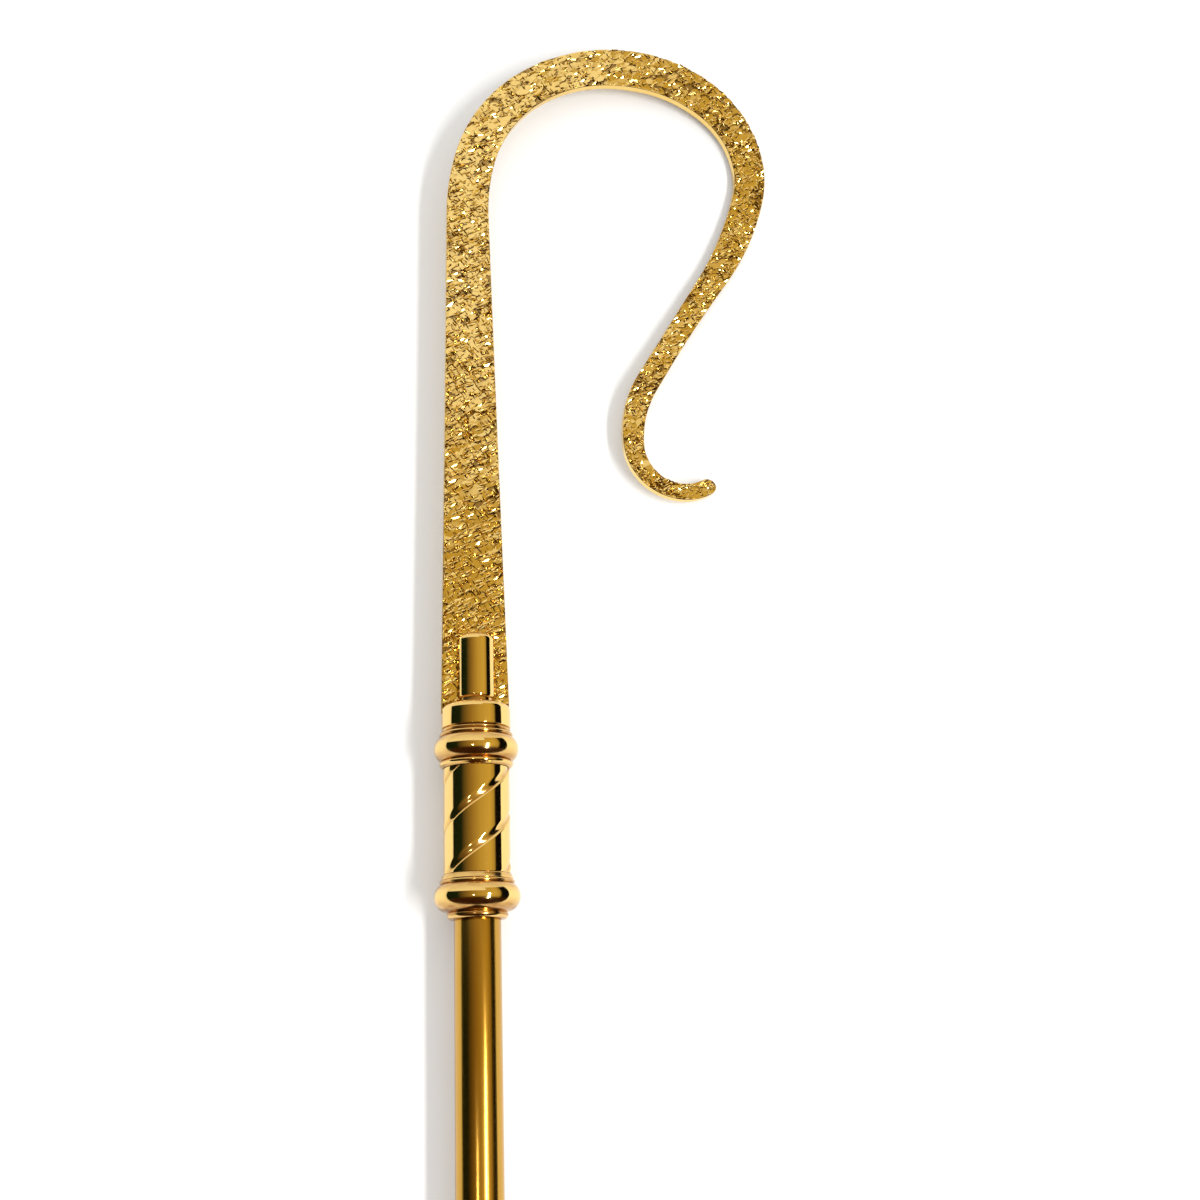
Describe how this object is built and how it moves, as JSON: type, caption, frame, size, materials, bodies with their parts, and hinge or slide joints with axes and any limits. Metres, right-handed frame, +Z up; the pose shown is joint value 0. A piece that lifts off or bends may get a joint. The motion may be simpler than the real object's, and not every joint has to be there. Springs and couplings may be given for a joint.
{
  "type": "bishop crosier",
  "caption": "Bishop's crosier lying at rest: a flat hammered crook in a turned socket, a twisted grip between two knops, a round pole and a plain foot.",
  "frame": {"origin": "middle of the lying staff's extent, on the surface that it lies on", "axes": "+Y runs up the staff towards the crook, +X is the side the crook bends to, +Z is up, out of the front of the crook"},
  "size_m": [0.184, 1.8504, 0.0407],
  "materials": {
    "hammered_gold": "gilt, chiselled and hammered all over its faces",
    "polished_gold": "gilt, mirror polished",
    "satin_brass": "lacquered, finely brushed along its length"
  },
  "bodies": {
    "root": {"crook": "hammered_gold", "crook_socket": "polished_gold", "twisted_grip": "polished_gold", "lower_knop": "polished_gold", "pole": "satin_brass", "foot_ferrule": "polished_gold"}
  },
  "joints": []
}
